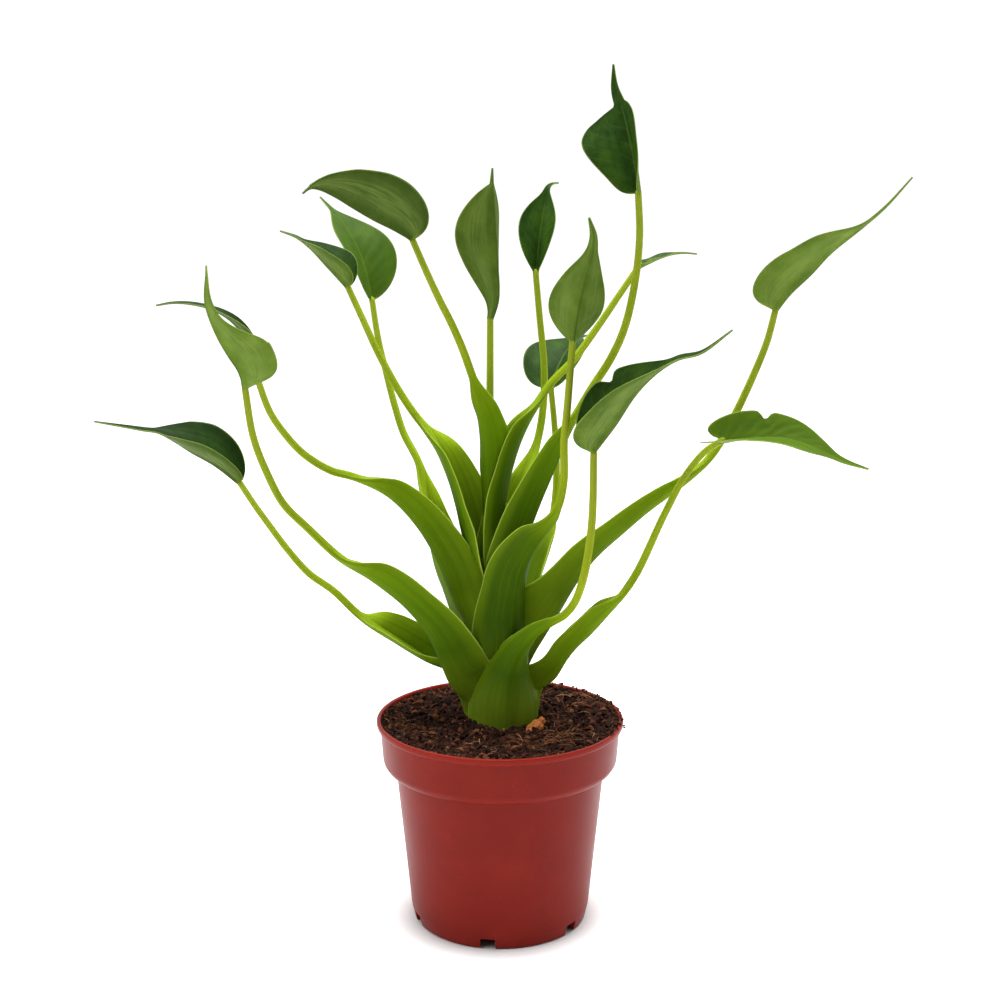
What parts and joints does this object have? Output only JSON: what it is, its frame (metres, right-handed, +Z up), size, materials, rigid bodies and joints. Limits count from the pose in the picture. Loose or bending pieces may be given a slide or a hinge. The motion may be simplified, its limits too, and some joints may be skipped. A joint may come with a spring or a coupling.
{
  "type": "potted tiny dancer alocasia",
  "caption": "Potted dwarf alocasia: thin stalks with broad sheathed bases carry small cupped, pointed blades above a round tapered nursery pot with a collar.",
  "frame": {"origin": "middle of the pot's round foot pad, on the surface that it stands on", "axes": "+Z up along the pot's axis, -Y towards the front, +X to the right as seen from the front"},
  "size_m": [0.3752, 0.2031, 0.4084],
  "materials": {
    "pot_plastic": "satin moulded plastic, red-brown",
    "soil": "dark coarse coir and peat with pale fibres",
    "stem_green": "satin",
    "stalk_green": "satin, fine lengthwise stripes",
    "blade_green": "semi-gloss dark green above, matte grey-green below",
    "bark": "rough"
  },
  "bodies": {
    "root": {"pot": "pot_plastic", "soil": "soil", "stem": "stem_green", "bark_chip": "bark", "leaf_01_stalk": "stalk_green", "leaf_01_blade": "blade_green", "leaf_02_stalk": "stalk_green", "leaf_02_blade": "blade_green", "leaf_03_stalk": "stalk_green", "leaf_03_blade": "blade_green", "leaf_04_stalk": "stalk_green", "leaf_04_blade": "blade_green", "leaf_05_stalk": "stalk_green", "leaf_05_blade": "blade_green", "leaf_06_stalk": "stalk_green", "leaf_06_blade": "blade_green", "leaf_07_stalk": "stalk_green", "leaf_07_blade": "blade_green", "leaf_08_stalk": "stalk_green", "leaf_08_blade": "blade_green", "leaf_09_stalk": "stalk_green", "leaf_09_blade": "blade_green", "leaf_10_stalk": "stalk_green", "leaf_10_blade": "blade_green", "leaf_11_stalk": "stalk_green", "leaf_11_blade": "blade_green", "leaf_12_stalk": "stalk_green", "leaf_12_blade": "blade_green", "leaf_13_stalk": "stalk_green", "leaf_13_blade": "blade_green", "leaf_14_stalk": "stalk_green", "leaf_14_blade": "blade_green", "leaf_15_stalk": "stalk_green", "leaf_15_blade": "blade_green"}
  },
  "joints": []
}
